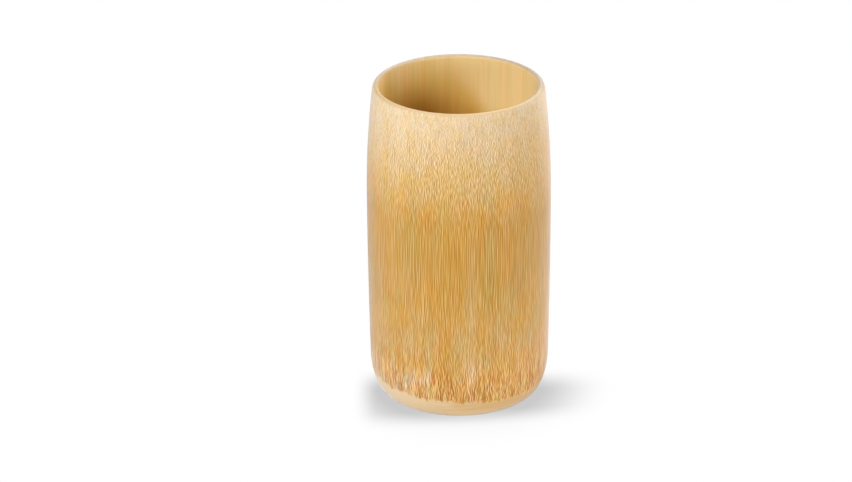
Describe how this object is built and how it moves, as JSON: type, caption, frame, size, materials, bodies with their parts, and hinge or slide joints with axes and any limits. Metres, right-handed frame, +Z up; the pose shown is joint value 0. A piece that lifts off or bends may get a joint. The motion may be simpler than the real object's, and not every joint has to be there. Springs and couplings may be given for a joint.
{
  "type": "bamboo cup",
  "caption": "Handleless drinking cup turned from bamboo culm: rounded lip, slightly barrelled wall, smooth node foot and the plant's own diaphragm as floor.",
  "frame": {"origin": "centre of the standing face, at the level of the surface that the cup stands on", "axes": "+Z up along the cup's axis and out of its mouth; the cup is round, so +X and +Y are only a choice, and the pictured side faces -Y"},
  "size_m": [0.07, 0.07, 0.125],
  "materials": {
    "bamboo_wall": "satin, fine sanded and oiled, streaked with vascular bundles",
    "bamboo_node": "satin, fine sanded and oiled, close and pale",
    "bamboo_floor": "satin, sanded"
  },
  "bodies": {
    "root": {"culm_wall": "bamboo_wall", "node_ring": "bamboo_node", "septum": "bamboo_floor"}
  },
  "joints": []
}
